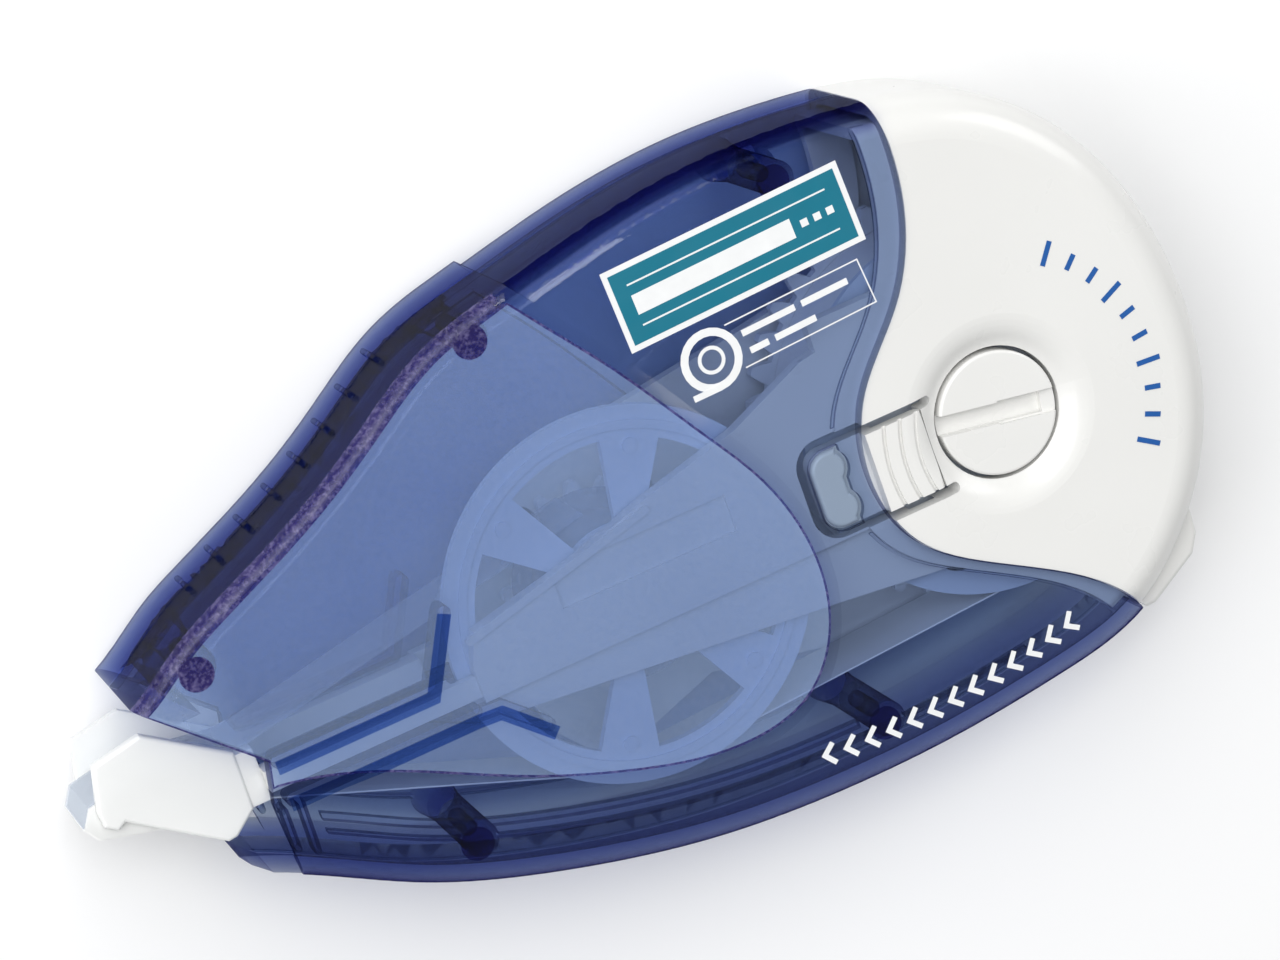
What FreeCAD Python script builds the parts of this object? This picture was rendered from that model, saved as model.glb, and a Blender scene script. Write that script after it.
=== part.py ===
"""Refillable correction tape roller: a clear two-half housing that holds a slide-in refill cassette.

The roller lies on its far side.  +X runs from the tip to the rounded rear end, which is also the way the
cassette slides out.  +Y runs from the belly to the curved back, and +Z from the far face to the near face.
The shapes are drawn with the middle of the thickness at z = MID, and moved by ORIGIN_SHIFT when they are
written, so that the origin is the centre of the bounding box, on the face that the roller rests on.
"""
import FreeCAD, Part
import math
import os

V = FreeCAD.Vector

# ---- driving dimensions, in millimetres ------------------------------------------------------------------
ORIGIN_SHIFT = V(0.6, 0, 0)

THICKNESS = 21.0            # over the two frosted pads
MID = THICKNESS / 2         # parting plane of the two halves
PAD = 0.5                   # how far the frosted grip pads stand proud
PAD_SLOPE = 1.25            # width of the sloping edge of a pad
PAD_ROUND = 1.3             # the pads have a tighter rim than the clear housing
WALL = 1.6
BLUE_FILLET = 3.0
FAR_FILLET = 4.5            # the far half is rounder
PARTING_GROOVE = 0.3        # width and depth of the fine groove round the parting line
FACE = THICKNESS - PAD      # outer face of the clear housing
INNER = FACE - WALL         # inner face of the clear housing

WHITE_DROP = 0.3            # the refill's rear cover lies this much below the clear lip
WHITE_FACE = FACE - WHITE_DROP
WHITE_INNER = WHITE_FACE - WALL
WHITE_FILLET = 4.2
WHITE_INSIDE_FILLET = 2.2
SEAM_GAP = 0.2
FLANGE_REACH = 2.2          # how far the cover's flange goes in under the clear lip
FLANGE_SIDE_GAP = 0.6
FLANGE_FACE_GAP = 0.2
FLANGE_WALL = 1.2
BEAD_WIDTH = 0.35           # bead inside each clear face, along the front edge of the flange
BEAD_GAP = 0.15

TAPE_WIDTH = 8.4
TAPE_LOW = MID - TAPE_WIDTH / 2
TAPE_HIGH = MID + TAPE_WIDTH / 2
TAPE_THICK = 0.15
CORE_R = 9.0
FULL_ROLL_R = 17.4          # 14 m of tape and liner, 0.05 mm thick, wound on the core
SPENT_R = 8.4

MODULE = 1.0
SUPPLY_TEETH = 38
IDLER_TEETH = 11
TAKEUP_TEETH = 17
GEAR_LOW, GEAR_HIGH = 5.05, 6.2
CORE_LOW = 6.25
BACKLASH = 0.16
PRESSURE_ANGLE = math.radians(25)
ADDENDUM = 0.8 * MODULE
DEDENDUM = 1.05 * MODULE

SUPPLY = V(34.45, -2.5, 0)
TAKEUP = V(-3.75, -5.0, 0)
AXLE_R = 2.0
IDLER_AXLE_R = 1.5
RUNNING_GAP = 0.06
FRAME_LOW, FRAME_HIGH = 2.3, 3.8        # far arm of the cassette
ARM_LOW, ARM_HIGH = 16.7, 18.3          # near arm of the cassette
STEP_HIGH = 17.5                        # lower strip beside the near arm
REEL_LOW, REEL_HIGH = 15.1, 16.2
REEL_R = 17.8
REEL_WINDOWS = 6

KNOB_R = 5.9
KNOB_HOLE_R = 6.3
KNOB_TOP = 19.5
DISH_R = 9.8
DISH_DEPTH = 1.15

LATCH_ROOT_X = 27.2
LATCH_TIP_X = 15.5
LATCH_LOW_Y, LATCH_HIGH_Y = -6.75, 1.05
LATCH_ROUND = 1.7           # corner radius of the tongue's free end
LATCH_THICK = 1.5
LATCH_TOP = WHITE_FACE
LATCH_UNDER = INNER - 0.2   # top of the tongue where it runs under the clear lip
CATCH_LENGTH = 2.9
CATCH_TOP = 19.4
RECESS_TOP = 19.65          # ceiling of the blind recess in the clear wall that the catch stands in
SLIT = 1.0
SLIT_END_X = 28.0
GROOVE_CENTRE = V(37.2, -3.6, 0)
GROOVE_RADII = (14.7, 13.1, 11.5, 9.9)

LIP_LOW = 3.6
TAB_LOW = 5.5
OFFSET_SAMPLES = 72         # stations that carry the outline to its moved copies
CHEEK_LOW, CHEEK_THICK = 4.9, 1.1
NECK_X = -41.2              # where the tip is fixed to the neck of the cassette
GUIDE = V(-6.7, -20.9, 0)   # post that leads the fresh tape round the take-up reel
GUIDE_R = 1.2


# ---- small helpers ---------------------------------------------------------------------------------------
def box(x0, x1, y0, y1, z0, z1):
    return Part.makeBox(x1 - x0, y1 - y0, z1 - z0, V(x0, y0, z0))


def cylinder(centre, radius, z0, z1):
    return Part.makeCylinder(radius, z1 - z0, V(centre.x, centre.y, z0))


def cone(centre, r0, r1, z0, z1):
    return Part.makeCone(r0, r1, z1 - z0, V(centre.x, centre.y, z0))


def ring(centre, r_in, r_out, z0, z1):
    return cylinder(centre, r_out, z0, z1).cut(cylinder(centre, r_in, z0 - 1, z1 + 1))


def prism(points, z0, z1):
    """Straight-sided plate on a closed list of corners."""
    wire = Part.makePolygon([V(x, y, z0) for x, y in points + points[:1]])
    return Part.Face(wire).extrude(V(0, 0, z1 - z0))


def curve_through(points, closed=False):
    curve = Part.BSplineCurve()
    curve.interpolate([V(x, y, 0) for x, y in points], PeriodicFlag=closed)
    return curve


def spline(points):
    return curve_through(points).toShape()


def sheet_prism(edges, z0, z1):
    face = Part.Face(Part.Wire(Part.__sortEdges__(edges)))
    face.translate(V(0, 0, z0))
    return face.extrude(V(0, 0, z1 - z0))


def mirrored(shape):
    """The same shape on the other side of the parting plane."""
    return shape.mirror(V(0, 0, MID), V(0, 0, 1))


def fuse(first, *others):
    return first.fuse(list(others)).removeSplitter()


def bar(p, q, width, z0, z1):
    """Rib with round ends from p to q."""
    p, q = V(*p, 0), V(*q, 0)
    along = (q - p).normalize()
    side = V(-along.y, along.x, 0) * (width / 2)
    plate = prism([(c.x, c.y) for c in (p + side, p - side, q - side, q + side)], z0, z1)
    return fuse(plate, cylinder(p, width / 2, z0, z1), cylinder(q, width / 2, z0, z1))


def round_tipped(x0, x1, y0, y1, radius, z0, z1):
    """Plate with its two corners at x0 rounded."""
    plate = [box(x0 + radius, x1, y0, y1, z0, z1), box(x0, x1, y0 + radius, y1 - radius, z0, z1)]
    corners = [cylinder(V(x0 + radius, y, 0), radius, z0, z1) for y in (y0 + radius, y1 - radius)]
    return fuse(*plate, *corners)


def polar(centre, radius, degrees):
    a = math.radians(degrees)
    return V(centre.x + radius * math.cos(a), centre.y + radius * math.sin(a), 0)


# ---- outlines --------------------------------------------------------------------------------------------
OUTLINE = [(-63.0, -4.3), (-60.9, 0.65), (-56.0, 2.9), (-49.6, 5.4), (-44.5, 8.7), (-39.5, 11.2), (-31.5, 14.8),
           (-23.45, 19.3), (-14.5, 24.6), (-6.3, 26.9), (4.25, 29.15), (16.25, 30.5), (28.25, 30.0), (40.0, 27.4), (48.4, 21.4),
           (53.7, 13), (56.2, 3), (56.0, -7), (53.4, -15), (48.5, -21.9), (41.6, -27.0), (32.25, -29.2),
           (20, -30.4), (8, -30.5), (-3.75, -29.5), (-19.75, -25.8), (-31.75, -21.2), (-43.75, -14.6),
           (-50, -12.4), (-56.0, -11.3), (-60.9, -9.25)]
SEAM = [(31.2, 34), (32.3, 27), (31.9, 20), (28.25, 11.5), (22, 4), (20.4, -3.5), (22.75, -10.5),
        (28.2, -15), (35.6, -19.5), (43, -28.6)]
PAD_EDGE = [(-9.2, 30.5), (-4.1, 23.5), (1.36, 16.2), (6.5, 8.2), (10.3, 2), (12.9, -7), (12.0, -14), (8, -19.3),
            (0, -21.1), (-10, -19.0), (-20, -15.0), (-30, -9.8), (-41, -6.2)]


def outline(grow=0.0):
    """The closed side outline, moved outwards by an even amount."""
    curve = curve_through(OUTLINE, closed=True)
    if not grow:
        return curve
    first, last = curve.FirstParameter, curve.LastParameter
    moved = []
    for i in range(OFFSET_SAMPLES):
        u = first + (last - first) * i / OFFSET_SAMPLES
        p, t = curve.value(u), curve.tangent(u)[0]
        moved.append((p.x - t.y * grow, p.y + t.x * grow))
    return curve_through(moved, closed=True)


def body_block(grow, z0, z1, rim, far_rim=None):
    """Pillow-shaped block on the side outline, grown by the given amount, with rounded rims."""
    face = Part.Face(Part.Wire([outline(grow).toShape()]))
    face.translate(V(0, 0, z0))
    block = face.extrude(V(0, 0, z1 - z0))
    for radius, level in ((rim, z1), (rim if far_rim is None else far_rim, z0)):
        if radius:
            edges = [e for e in block.Edges if e.BoundBox.ZLength < 0.01 and abs(e.BoundBox.ZMin - level) < 0.01]
            block = block.makeFillet(radius, edges)
    return block


def behind_seam(shift):
    """Everything to the rear of the seam curve, with the curve moved along X."""
    seam = spline([(x + shift, y) for x, y in SEAM])
    a, b = seam.Vertexes[0].Point, seam.Vertexes[-1].Point
    far = 90
    loop = [seam, Part.makeLine(a, V(far, a.y, 0)), Part.makeLine(V(far, a.y, 0), V(far, b.y, 0)),
            Part.makeLine(V(far, b.y, 0), b)]
    return sheet_prism(loop, -1, THICKNESS + 1)


def front_faces_cut():
    """What is taken off the front: a slanting edge above the neck, and a short upright edge below it."""
    return prism([(-80, 30), (-75.8, 30), (-49.8, 5.0), (-40.9, -3.7), (-41.8, -8.0), (-41.7, -11.5),
                  (-41.3, -17), (-80, -17)], -1, THICKNESS + 1)


def lip_region():
    """The belly wall runs on past the faces as a rounded lip under the tip."""
    return prism([(-41.0, -10.9), (-46.3, -10.9), (-46.1, -11.9), (-45.3, -13.1), (-43.9, -14.4), (-41, -18)],
                 LIP_LOW, THICKNESS - LIP_LOW)


def pad_loop(curve):
    """Closed loop around everything on the tip side of the pad's rear edge."""
    a, b = curve.Vertexes[0].Point, curve.Vertexes[-1].Point
    corners = [b, V(-70, b.y, 0), V(-70, a.y + 4, 0), V(a.x, a.y + 4, 0), a]
    return [curve] + [Part.makeLine(corners[i], corners[i + 1]) for i in range(len(corners) - 1)]


def pad_region():
    """Where the frosted pads are, with a sloping rear edge that falls from the pad to the clear face."""
    top = spline(PAD_EDGE)
    line = curve_through(PAD_EDGE)
    foot_points = []
    for x, y in PAD_EDGE:
        t = line.tangent(line.parameter(V(x, y, 0)))[0]
        foot_points.append((x - t.y * PAD_SLOPE, y + t.x * PAD_SLOPE))
    foot = spline(foot_points)
    middle = sheet_prism(pad_loop(foot), MID - 1, FACE)
    low, high = Part.Wire(Part.__sortEdges__(pad_loop(foot))), Part.Wire(Part.__sortEdges__(pad_loop(top)))
    low.translate(V(0, 0, FACE))
    high.translate(V(0, 0, THICKNESS))
    near = fuse(middle, Part.makeLoft([low, high], True, True))
    return fuse(near, mirrored(near))


# ---- clear housing ---------------------------------------------------------------------------------------
POSTS = [V(21.75, 26.3, 0), V(-9.9, 24.2, 0), V(-43.3, 6.4, 0), V(-25.25, -19.5, 0), V(14.75, -25.6, 0)]
GRIP_RIBS = 8


def grip_ribs():
    """Short ridges across the parting line, evenly spaced along the hollow of the grip."""
    grip = outline()
    ribs = []
    for i in range(GRIP_RIBS):
        x = -40.2 + i * 3.45
        u = grip.parameter(V(x, 10.75 + (x + 39.5) * 0.47, 0))
        p, t = grip.value(u), grip.tangent(u)[0]
        n = V(-t.y, t.x, 0)
        a, b = p - n * 0.3, p + n * (PAD + 0.35)
        ribs.append(bar((a.x, a.y), (b.x, b.y), 0.55, MID - 2.4, MID + 2.4))
    return ribs


def latch_recess():
    """Blind recess on the inner face, a little larger than the catch that stands in it."""
    gap = 0.3
    return round_tipped(LATCH_TIP_X - gap, LATCH_TIP_X + CATCH_LENGTH + gap, LATCH_LOW_Y - gap + 0.2,
                        LATCH_HIGH_Y + gap - 0.2, LATCH_ROUND + gap, INNER - 1, RECESS_TOP)


def near_rails():
    """Guide ribs on the inner face that steer the refill's neck, and a stop rib by the front corner."""
    deep, shallow = ARM_LOW - 0.3, STEP_HIGH + 0.15
    upper = [(-39.8, -4.75), (-24.3, -4.75), (-21.0, 1.6)]
    lower = [(-39.8, -8.6), (-21.3, -8.6), (-19.2, -8.75), (-15.6, -12.2)]
    ribs = [bar(upper[i], upper[i + 1], 1.3, deep, INNER + 0.3) for i in (0, 1)]
    ribs += [bar(lower[i], lower[i + 1], 1.3, deep if i == 0 else shallow, INNER + 0.3) for i in (0, 1, 2)]
    ribs.append(bar((-46.4, 6.4), (-43.2, 9.0), 1.2, INNER - 3.0, INNER + 0.3))
    return ribs


def neck_gusset():
    """Two short cross ribs that stiffen the front edge of each half beside the neck."""
    low = ARM_LOW - 0.3
    return [bar((-40.9, -9.3), (-41.0, -13.2), 0.6, low, INNER + 0.3),
            bar((-39.2, -9.3), (-39.4, -14.2), 0.6, low, INNER + 0.3)]


def belly_rib(inset, width, x0, x1):
    """Long rib on the inner face that runs along the belly, at an even distance from the outline."""
    low = INNER - 1.1
    band = body_block(-inset, low, INNER + 0.3, 0).cut(body_block(-inset - width, low - 1, THICKNESS, 0))
    return band.common(box(x0, x1, -40, -8.5, 0, THICKNESS))


def seam_bead():
    """Thin bead on the inner face, just ahead of the refill's flange, left out where the latch passes."""
    front = SEAM_GAP - FLANGE_REACH - BEAD_GAP
    band = behind_seam(front - BEAD_WIDTH).cut(behind_seam(front))
    band = band.common(box(-80, 80, -50, 50, INNER - BEAD_WIDTH, INNER + 0.3))
    return band.cut(box(-80, 80, LATCH_LOW_Y - 1.5, LATCH_HIGH_Y + 1.5, 0, THICKNESS))


def post_web(post, wall_x, wall_y):
    """Web that ties a snap post to the wall beside it."""
    return bar((post.x, post.y), (wall_x, wall_y), 1.5, MID + 3.0, INNER + 0.3)


def parting_groove():
    """Fine groove round the parting line, where the rims of both halves are eased."""
    low, high = MID - PARTING_GROOVE / 2, MID + PARTING_GROOVE / 2
    return body_block(1.0, low, high, 0).cut(body_block(-PARTING_GROOVE, low - 1, high + 1, 0))


def housing():
    """The two clear halves, with their frosted pads, snap posts, guide ribs and latch recesses."""
    outer = body_block(0, THICKNESS - FACE, FACE, BLUE_FILLET, FAR_FILLET)
    pads = body_block(PAD, 0, THICKNESS, PAD_ROUND, FAR_FILLET).common(pad_region())
    skin = outer.fuse([pads] + grip_ribs())
    skin = skin.cut(front_faces_cut())
    lip = outer.common(lip_region())
    skin = skin.fuse(lip).cut(behind_seam(0))
    hollow = body_block(-WALL, THICKNESS - INNER, INNER, BLUE_FILLET - WALL)
    corner_wall = prism([(-60, 12), (-49.8, 5.0), (-46.95, 2.3), (-44.6, 2.3), (-48.6, 6.6), (-48, 12)], 0, 30)
    hollow = hollow.cut(corner_wall)
    tip_path = box(-60, -30, -11.0, 2.3, THICKNESS - INNER, INNER)
    skin = skin.cut(hollow).cut(tip_path)
    near = skin.common(box(-80, 80, -50, 50, MID, THICKNESS + 1))
    far = skin.common(box(-80, 80, -50, 50, -1, MID))
    inside = body_block(-WALL / 2, THICKNESS - FACE + 0.2, FACE - 0.2, 0, FAR_FILLET - WALL)
    near_bosses = [cylinder(p, 1.7, MID, INNER + 0.3).common(inside) for p in POSTS]
    far_bosses = [fuse(cone(p, 2.2, 1.7, THICKNESS - INNER - 0.3, 6.5), cylinder(p, 1.7, 6, MID)).common(inside)
                  for p in POSTS]
    ribs = [rib.common(inside) for rib in near_rails() + neck_gusset()]
    near_only = [seam_bead(), post_web(POSTS[0], 21.2, 31.0), post_web(POSTS[1], -10.8, 27.5)]
    near_only = [piece.common(inside) for piece in near_only]
    near_belly = [belly_rib(4.1, 0.35, -38, 30), belly_rib(5.3, 0.7, -38, 12), belly_rib(6.8, 0.4, -38, -12)]
    far_belly = [mirrored(belly_rib(4.1, 0.35, -38, 12)), mirrored(belly_rib(5.3, 0.7, -38, -22))]
    groove = parting_groove()
    near = near.fuse(near_bosses + ribs + near_only + near_belly).cut(latch_recess()).cut(groove)
    far = far.fuse(far_bosses + [mirrored(r) for r in ribs] + far_belly).cut(mirrored(latch_recess())).cut(groove)
    for p in POSTS:
        near = near.cut(cylinder(p, 0.82, MID - 1, MID + 4.2))
        far = far.fuse(cylinder(p, 0.8, MID - 1, MID + 4))
    return near.removeSplitter(), far.removeSplitter()


# ---- refill cassette frame -------------------------------------------------------------------------------
def rear_cover():
    """Whole white rear cover before it is split: rounded shell, stepped flange and pull tab."""
    low, inner_low = THICKNESS - WHITE_FACE, THICKNESS - WHITE_INNER
    shell = body_block(0, low, WHITE_FACE, WHITE_FILLET, FAR_FILLET).common(behind_seam(SEAM_GAP))
    shell = shell.cut(body_block(-WALL, inner_low, WHITE_INNER, WHITE_INSIDE_FILLET))
    flange_top = INNER - FLANGE_FACE_GAP
    side = -WALL - FLANGE_SIDE_GAP
    flange = body_block(side, THICKNESS - flange_top, flange_top, 1.2)
    flange = flange.cut(body_block(side - FLANGE_WALL, THICKNESS - flange_top + FLANGE_WALL,
                                   flange_top - FLANGE_WALL, 0))
    flange = flange.common(behind_seam(SEAM_GAP - FLANGE_REACH)).cut(behind_seam(SEAM_GAP + 2.0))
    tab = prism([(50.4, -18.6), (51.1, -21.2), (51.0, -23.1), (50.0, -24.9), (44.8, -27.9), (43.8, -27.9),
                 (42.9, -26.0), (47, -20)], TAB_LOW, THICKNESS - TAB_LOW)
    tab = tab.makeFillet(0.6, [e for e in tab.Edges if e.BoundBox.XMin > 43.5 and e.BoundBox.YMax < -21])
    tab = tab.cut(body_block(-WALL / 2, 0, THICKNESS, 0))
    return shell.fuse([flange, tab]).removeSplitter()


def arm_plan(z0, z1):
    """Plan of the raised arm, from the cover's flange to the neck."""
    return prism([(30, 12.5), (24.0, 10.4), (18.25, 9.4), (10.25, 6), (-0.25, 3.4), (-7.75, 1.0),
                  (-19.0, -1.4), (-20.2, -4.6), (-20.2, -8.0), (23, -8.0), (28, 4)], z0, z1)


def strip_plan(z0, z1):
    """Plan of the lower strip beside the arm."""
    return prism([(-20.2, -7.9), (-18.4, -10.2), (14.75, -13.7), (26.5, -15.1), (30, -12.6), (23, -7.9)], z0, z1)


def neck_bar(z0, z1):
    return box(NECK_X, -22.4, -7.6, -5.5, z0, z1)


def latch_opening(z0, z1):
    """U-shaped clearance round the press latch, with its two slits running on past the hinge."""
    tip_gap = SLIT + 0.05
    low, high = LATCH_LOW_Y - SLIT, LATCH_HIGH_Y + SLIT
    opening = round_tipped(LATCH_TIP_X - tip_gap, LATCH_ROOT_X + RUNNING_GAP, low, high,
                           LATCH_ROUND + SLIT, z0, z1)
    slits = [bar((LATCH_ROOT_X - 2, y), (SLIT_END_X, y), SLIT, z0, z1)
             for y in (low + SLIT / 2, high - SLIT / 2)]
    return fuse(opening, *slits)


def dish():
    """Soft bowl around the knob: level at its rim, and steepest beside the knob."""
    profile = [(DISH_R, 0), (DISH_R - 1.1, -0.1), (DISH_R - 2.2, -0.48), (DISH_R - 3.0, -0.93),
               (KNOB_HOLE_R, -DISH_DEPTH)]
    curve = Part.BSplineCurve()
    curve.interpolate([V(r, 0, WHITE_FACE + z) for r, z in profile])
    top = WHITE_FACE + 1
    loop = [curve.toShape(), Part.makeLine(V(KNOB_HOLE_R, 0, WHITE_FACE - DISH_DEPTH), V(KNOB_HOLE_R, 0, top)),
            Part.makeLine(V(KNOB_HOLE_R, 0, top), V(DISH_R, 0, top)),
            Part.makeLine(V(DISH_R, 0, top), V(DISH_R, 0, WHITE_FACE))]
    face = Part.Face(Part.Wire(Part.__sortEdges__(loop)))
    bowl = face.revolve(V(0, 0, 0), V(0, 0, 1), 360)
    bowl.translate(SUPPLY)
    return bowl


def near_frame(cover):
    """Near half of the refill: cover half, arm with its sunken panel, and the front half of the neck."""
    cover = cover.common(box(-80, 80, -50, 50, MID, THICKNESS + 1))
    panel = box(-10.5, 7.3, -2.9, 0.8, ARM_HIGH - 0.4, ARM_HIGH + 1)
    arm = arm_plan(ARM_LOW, ARM_HIGH).cut(panel)
    strip = strip_plan(ARM_LOW - 0.2, STEP_HIGH)
    ridge = bar((-19.6, -2.0), (-0.25, 2.6), 0.8, ARM_HIGH - 0.2, ARM_HIGH + 0.3)
    bridge = box(20, 31.5, 7.5, 12.5, ARM_LOW, ARM_HIGH)
    neck = [neck_bar(15.0, 17.6), box(-22.6, -20.0, -7.6, -5.5, ARM_LOW, 17.6)]
    frame = cover.fuse([arm, strip, ridge, bridge] + neck)
    boss = cylinder(SUPPLY, DISH_R, WHITE_INNER - 1.2, WHITE_INNER + 0.5)
    frame = frame.fuse(boss).cut(dish())
    frame = frame.cut(cylinder(SUPPLY, KNOB_HOLE_R, MID, THICKNESS))
    frame = frame.cut(latch_opening(ARM_LOW - 2, THICKNESS))
    return frame.removeSplitter()


def far_frame(cover, idler):
    """Far half of the refill: cover half, far arm with its three axles, guide post and neck."""
    cover = cover.common(box(-80, 80, -50, 50, -1, MID))
    arm = prism([(30, 12.5), (18.25, 10.5), (-7.75, 7.0), (-16, 1.0), (-20.2, -4.6), (-20.2, -7.4),
                 (-14.8, -9.5), (-12.5, -18.2), (-9.0, -22.4), (-4.5, -22.4), (4, -19.5), (16.4, -22.2), (17.6, -23.4),
                 (17.6, -25.1), (34.7, -24.0), (39, -20), (40, -2)],
                FRAME_LOW, FRAME_HIGH)
    for angle in (40, 130, 230, 310):
        arm = arm.cut(cylinder(polar(TAKEUP, 8.2, angle), 2.4, 0, MID))
    arm = arm.cut(cylinder(V(13.5, -3, 0), 4.0, 0, MID))
    neck = [neck_bar(FRAME_LOW + 1.1, 6.0), box(-22.6, -19.6, -7.6, -5.5, FRAME_LOW, FRAME_HIGH)]
    posts = [cylinder(SUPPLY, AXLE_R, FRAME_LOW, 14.0), cylinder(TAKEUP, AXLE_R, FRAME_LOW, 14.4),
             cylinder(idler, IDLER_AXLE_R, FRAME_LOW, 7.2), cylinder(GUIDE, GUIDE_R, FRAME_LOW, 14.9)]
    frame = cover.fuse([arm] + neck + posts)
    frame = frame.cut(mirrored(latch_opening(ARM_LOW - 2, THICKNESS)))
    return frame.removeSplitter()


def latch():
    """Near press latch: ribbed tongue on a round root, stepping down to a catch that stands in the recess."""
    y0, y1 = LATCH_LOW_Y, LATCH_HIGH_Y
    hinge_x = LATCH_ROOT_X - LATCH_THICK / 2
    hinge_z = LATCH_TOP - LATCH_THICK / 2
    step_x = 21.3
    root = Part.makeCylinder(LATCH_THICK / 2, y1 - y0, V(hinge_x, y0, hinge_z), V(0, 1, 0))
    tongue = box(step_x, hinge_x, y0, y1, LATCH_TOP - LATCH_THICK, LATCH_TOP)
    joggle = box(step_x - 1.0, step_x + 1.2, y0, y1, LATCH_UNDER - LATCH_THICK, LATCH_UNDER)
    foot = round_tipped(LATCH_TIP_X, step_x, y0, y1, LATCH_ROUND, LATCH_UNDER - LATCH_THICK, LATCH_UNDER)
    catch = round_tipped(LATCH_TIP_X, LATCH_TIP_X + CATCH_LENGTH, y0 + 0.2, y1 - 0.2, LATCH_ROUND,
                         LATCH_UNDER - 0.2, CATCH_TOP)
    catch = catch.makeFillet(0.4, [e for e in catch.Edges if e.BoundBox.ZMin > CATCH_TOP - 0.01])
    body = fuse(root, tongue, joggle, foot, catch)
    body = body.cut(dish())
    for radius in GROOVE_RADII:
        groove = ring(GROOVE_CENTRE, radius - 0.2, radius + 0.2, LATCH_TOP - 0.35, LATCH_TOP + 1)
        body = body.cut(groove.common(box(step_x, hinge_x + 0.6, y0 - 1, y1 + 1, 0, THICKNESS)))
    return body.removeSplitter()


# ---- tip -------------------------------------------------------------------------------------------------
CHEEK = [(-50.1, 1.9), (-55.0, 1.0), (-56.1, -3.2), (-56.0, -4.7), (-54.9, -5.5), (-54.1, -5.0),
         (-52.2, -6.4), (-46.2, -10.7), (-45.3, -10.6), (-43.0, -8.8), (-42.8, -3.2)]
BLADE = [(-43.0, -3.9), (-52.0, -1.9), (-56.6, -2.8), (-57.6, -4.4), (-56.6, -5.9), (-52.4, -7.0), (-43.0, -8.5)]


def tip_carrier():
    """Milky head of the tip: two cheeks on a block that is fixed to the neck."""
    high = THICKNESS - CHEEK_LOW
    cheek = prism(CHEEK, CHEEK_LOW, CHEEK_LOW + CHEEK_THICK)
    cheek = cheek.makeFillet(0.35, [e for e in cheek.Edges if e.BoundBox.ZMax < CHEEK_LOW + 0.01])
    block = box(-43.0, NECK_X, -8.7, -3.5, CHEEK_LOW + 0.2, high - 0.2)
    return fuse(cheek, mirrored(cheek), block)


def tip_blade():
    """Wedge between the cheeks, with a thin lower edge that presses the tape on the paper."""
    return prism(BLADE, CHEEK_LOW + CHEEK_THICK, THICKNESS - CHEEK_LOW - CHEEK_THICK)


# ---- tape ------------------------------------------------------------------------------------------------
def ribbon(points):
    """Strip of tape that stands on edge along a path, with its own thickness to the left of the path."""
    outer = []
    for i, (x, y) in enumerate(points):
        before, after = points[max(i - 1, 0)], points[min(i + 1, len(points) - 1)]
        a = V(x - before[0], y - before[1], 0)
        b = V(after[0] - x, after[1] - y, 0)
        a = (a if a.Length else b).normalize()
        b = (b if b.Length > 1e-6 else a).normalize()
        mid = (a + b).normalize()
        reach = TAPE_THICK / max(mid.dot(a), 0.4)
        outer.append((x - mid.y * reach, y + mid.x * reach))
    return prism(list(points) + outer[::-1], TAPE_LOW, TAPE_HIGH)


def fresh_tape_run():
    """White tape from the full roll, round the guide post and under the neck to the blade's edge."""
    start = SUPPLY + V(0, -FULL_ROLL_R - 0.1, 0)
    bend = [polar(GUIDE, GUIDE_R + 0.02, a) for a in (272, 258, 246)]
    path = [(start.x, start.y)] + [(p.x, p.y) for p in bend]
    path += [(NECK_X, -8.85), (-43.0, -8.72), (-52.4, -7.02), (-56.62, -5.92), (-57.62, -4.4)]
    return ribbon(path)


def spent_tape_run():
    """Bare liner from the blade's edge, over the neck to the take-up coil."""
    end = polar(TAKEUP, SPENT_R + 0.1, 98)
    path = [(-57.62, -4.4), (-56.62, -2.78), (-52.0, -1.88), (-43.0, -3.35), (NECK_X, -3.35), (end.x, end.y)]
    return ribbon(path)


# ---- gears and reels -------------------------------------------------------------------------------------
def involute(angle):
    return math.tan(angle) - angle


def gear(centre, teeth, phase, z0, z1):
    """Spur gear with involute flanks.  One tooth is centred on the phase angle."""
    pitch = MODULE * teeth / 2
    base, tip, root = pitch * math.cos(PRESSURE_ANGLE), pitch + ADDENDUM, pitch - DEDENDUM
    half = math.pi / (2 * teeth) - BACKLASH / (4 * pitch)

    def flank(radius):
        return half + involute(PRESSURE_ANGLE) - involute(math.acos(min(1.0, base / radius)))

    def point(radius, angle):
        return V(centre.x + radius * math.cos(angle), centre.y + radius * math.sin(angle), z0)

    start = max(base, root)
    edges = []
    for i in range(teeth):
        mid = phase + i * 2 * math.pi / teeth
        following = mid + 2 * math.pi / teeth
        rise = [point(r, mid - flank(r)) for r in (start, (start + tip) / 2, tip)]
        fall = [point(r, mid + flank(r)) for r in (tip, (start + tip) / 2, start)]
        edges.append(Part.Arc(*rise).toShape())
        edges.append(Part.Arc(rise[-1], point(tip, mid), fall[0]).toShape())
        edges.append(Part.Arc(*fall).toShape())
        foot = [fall[-1], point(root, mid + flank(start)), point(root, following - flank(start)),
                point(start, following - flank(start))]
        if start > root:
            edges.append(Part.makeLine(foot[0], foot[1]))
            edges.append(Part.makeLine(foot[2], foot[3]))
        edges.append(Part.makeLine(foot[1], foot[2]))
    return Part.Face(Part.Wire(Part.__sortEdges__(edges))).extrude(V(0, 0, z1 - z0))


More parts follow.
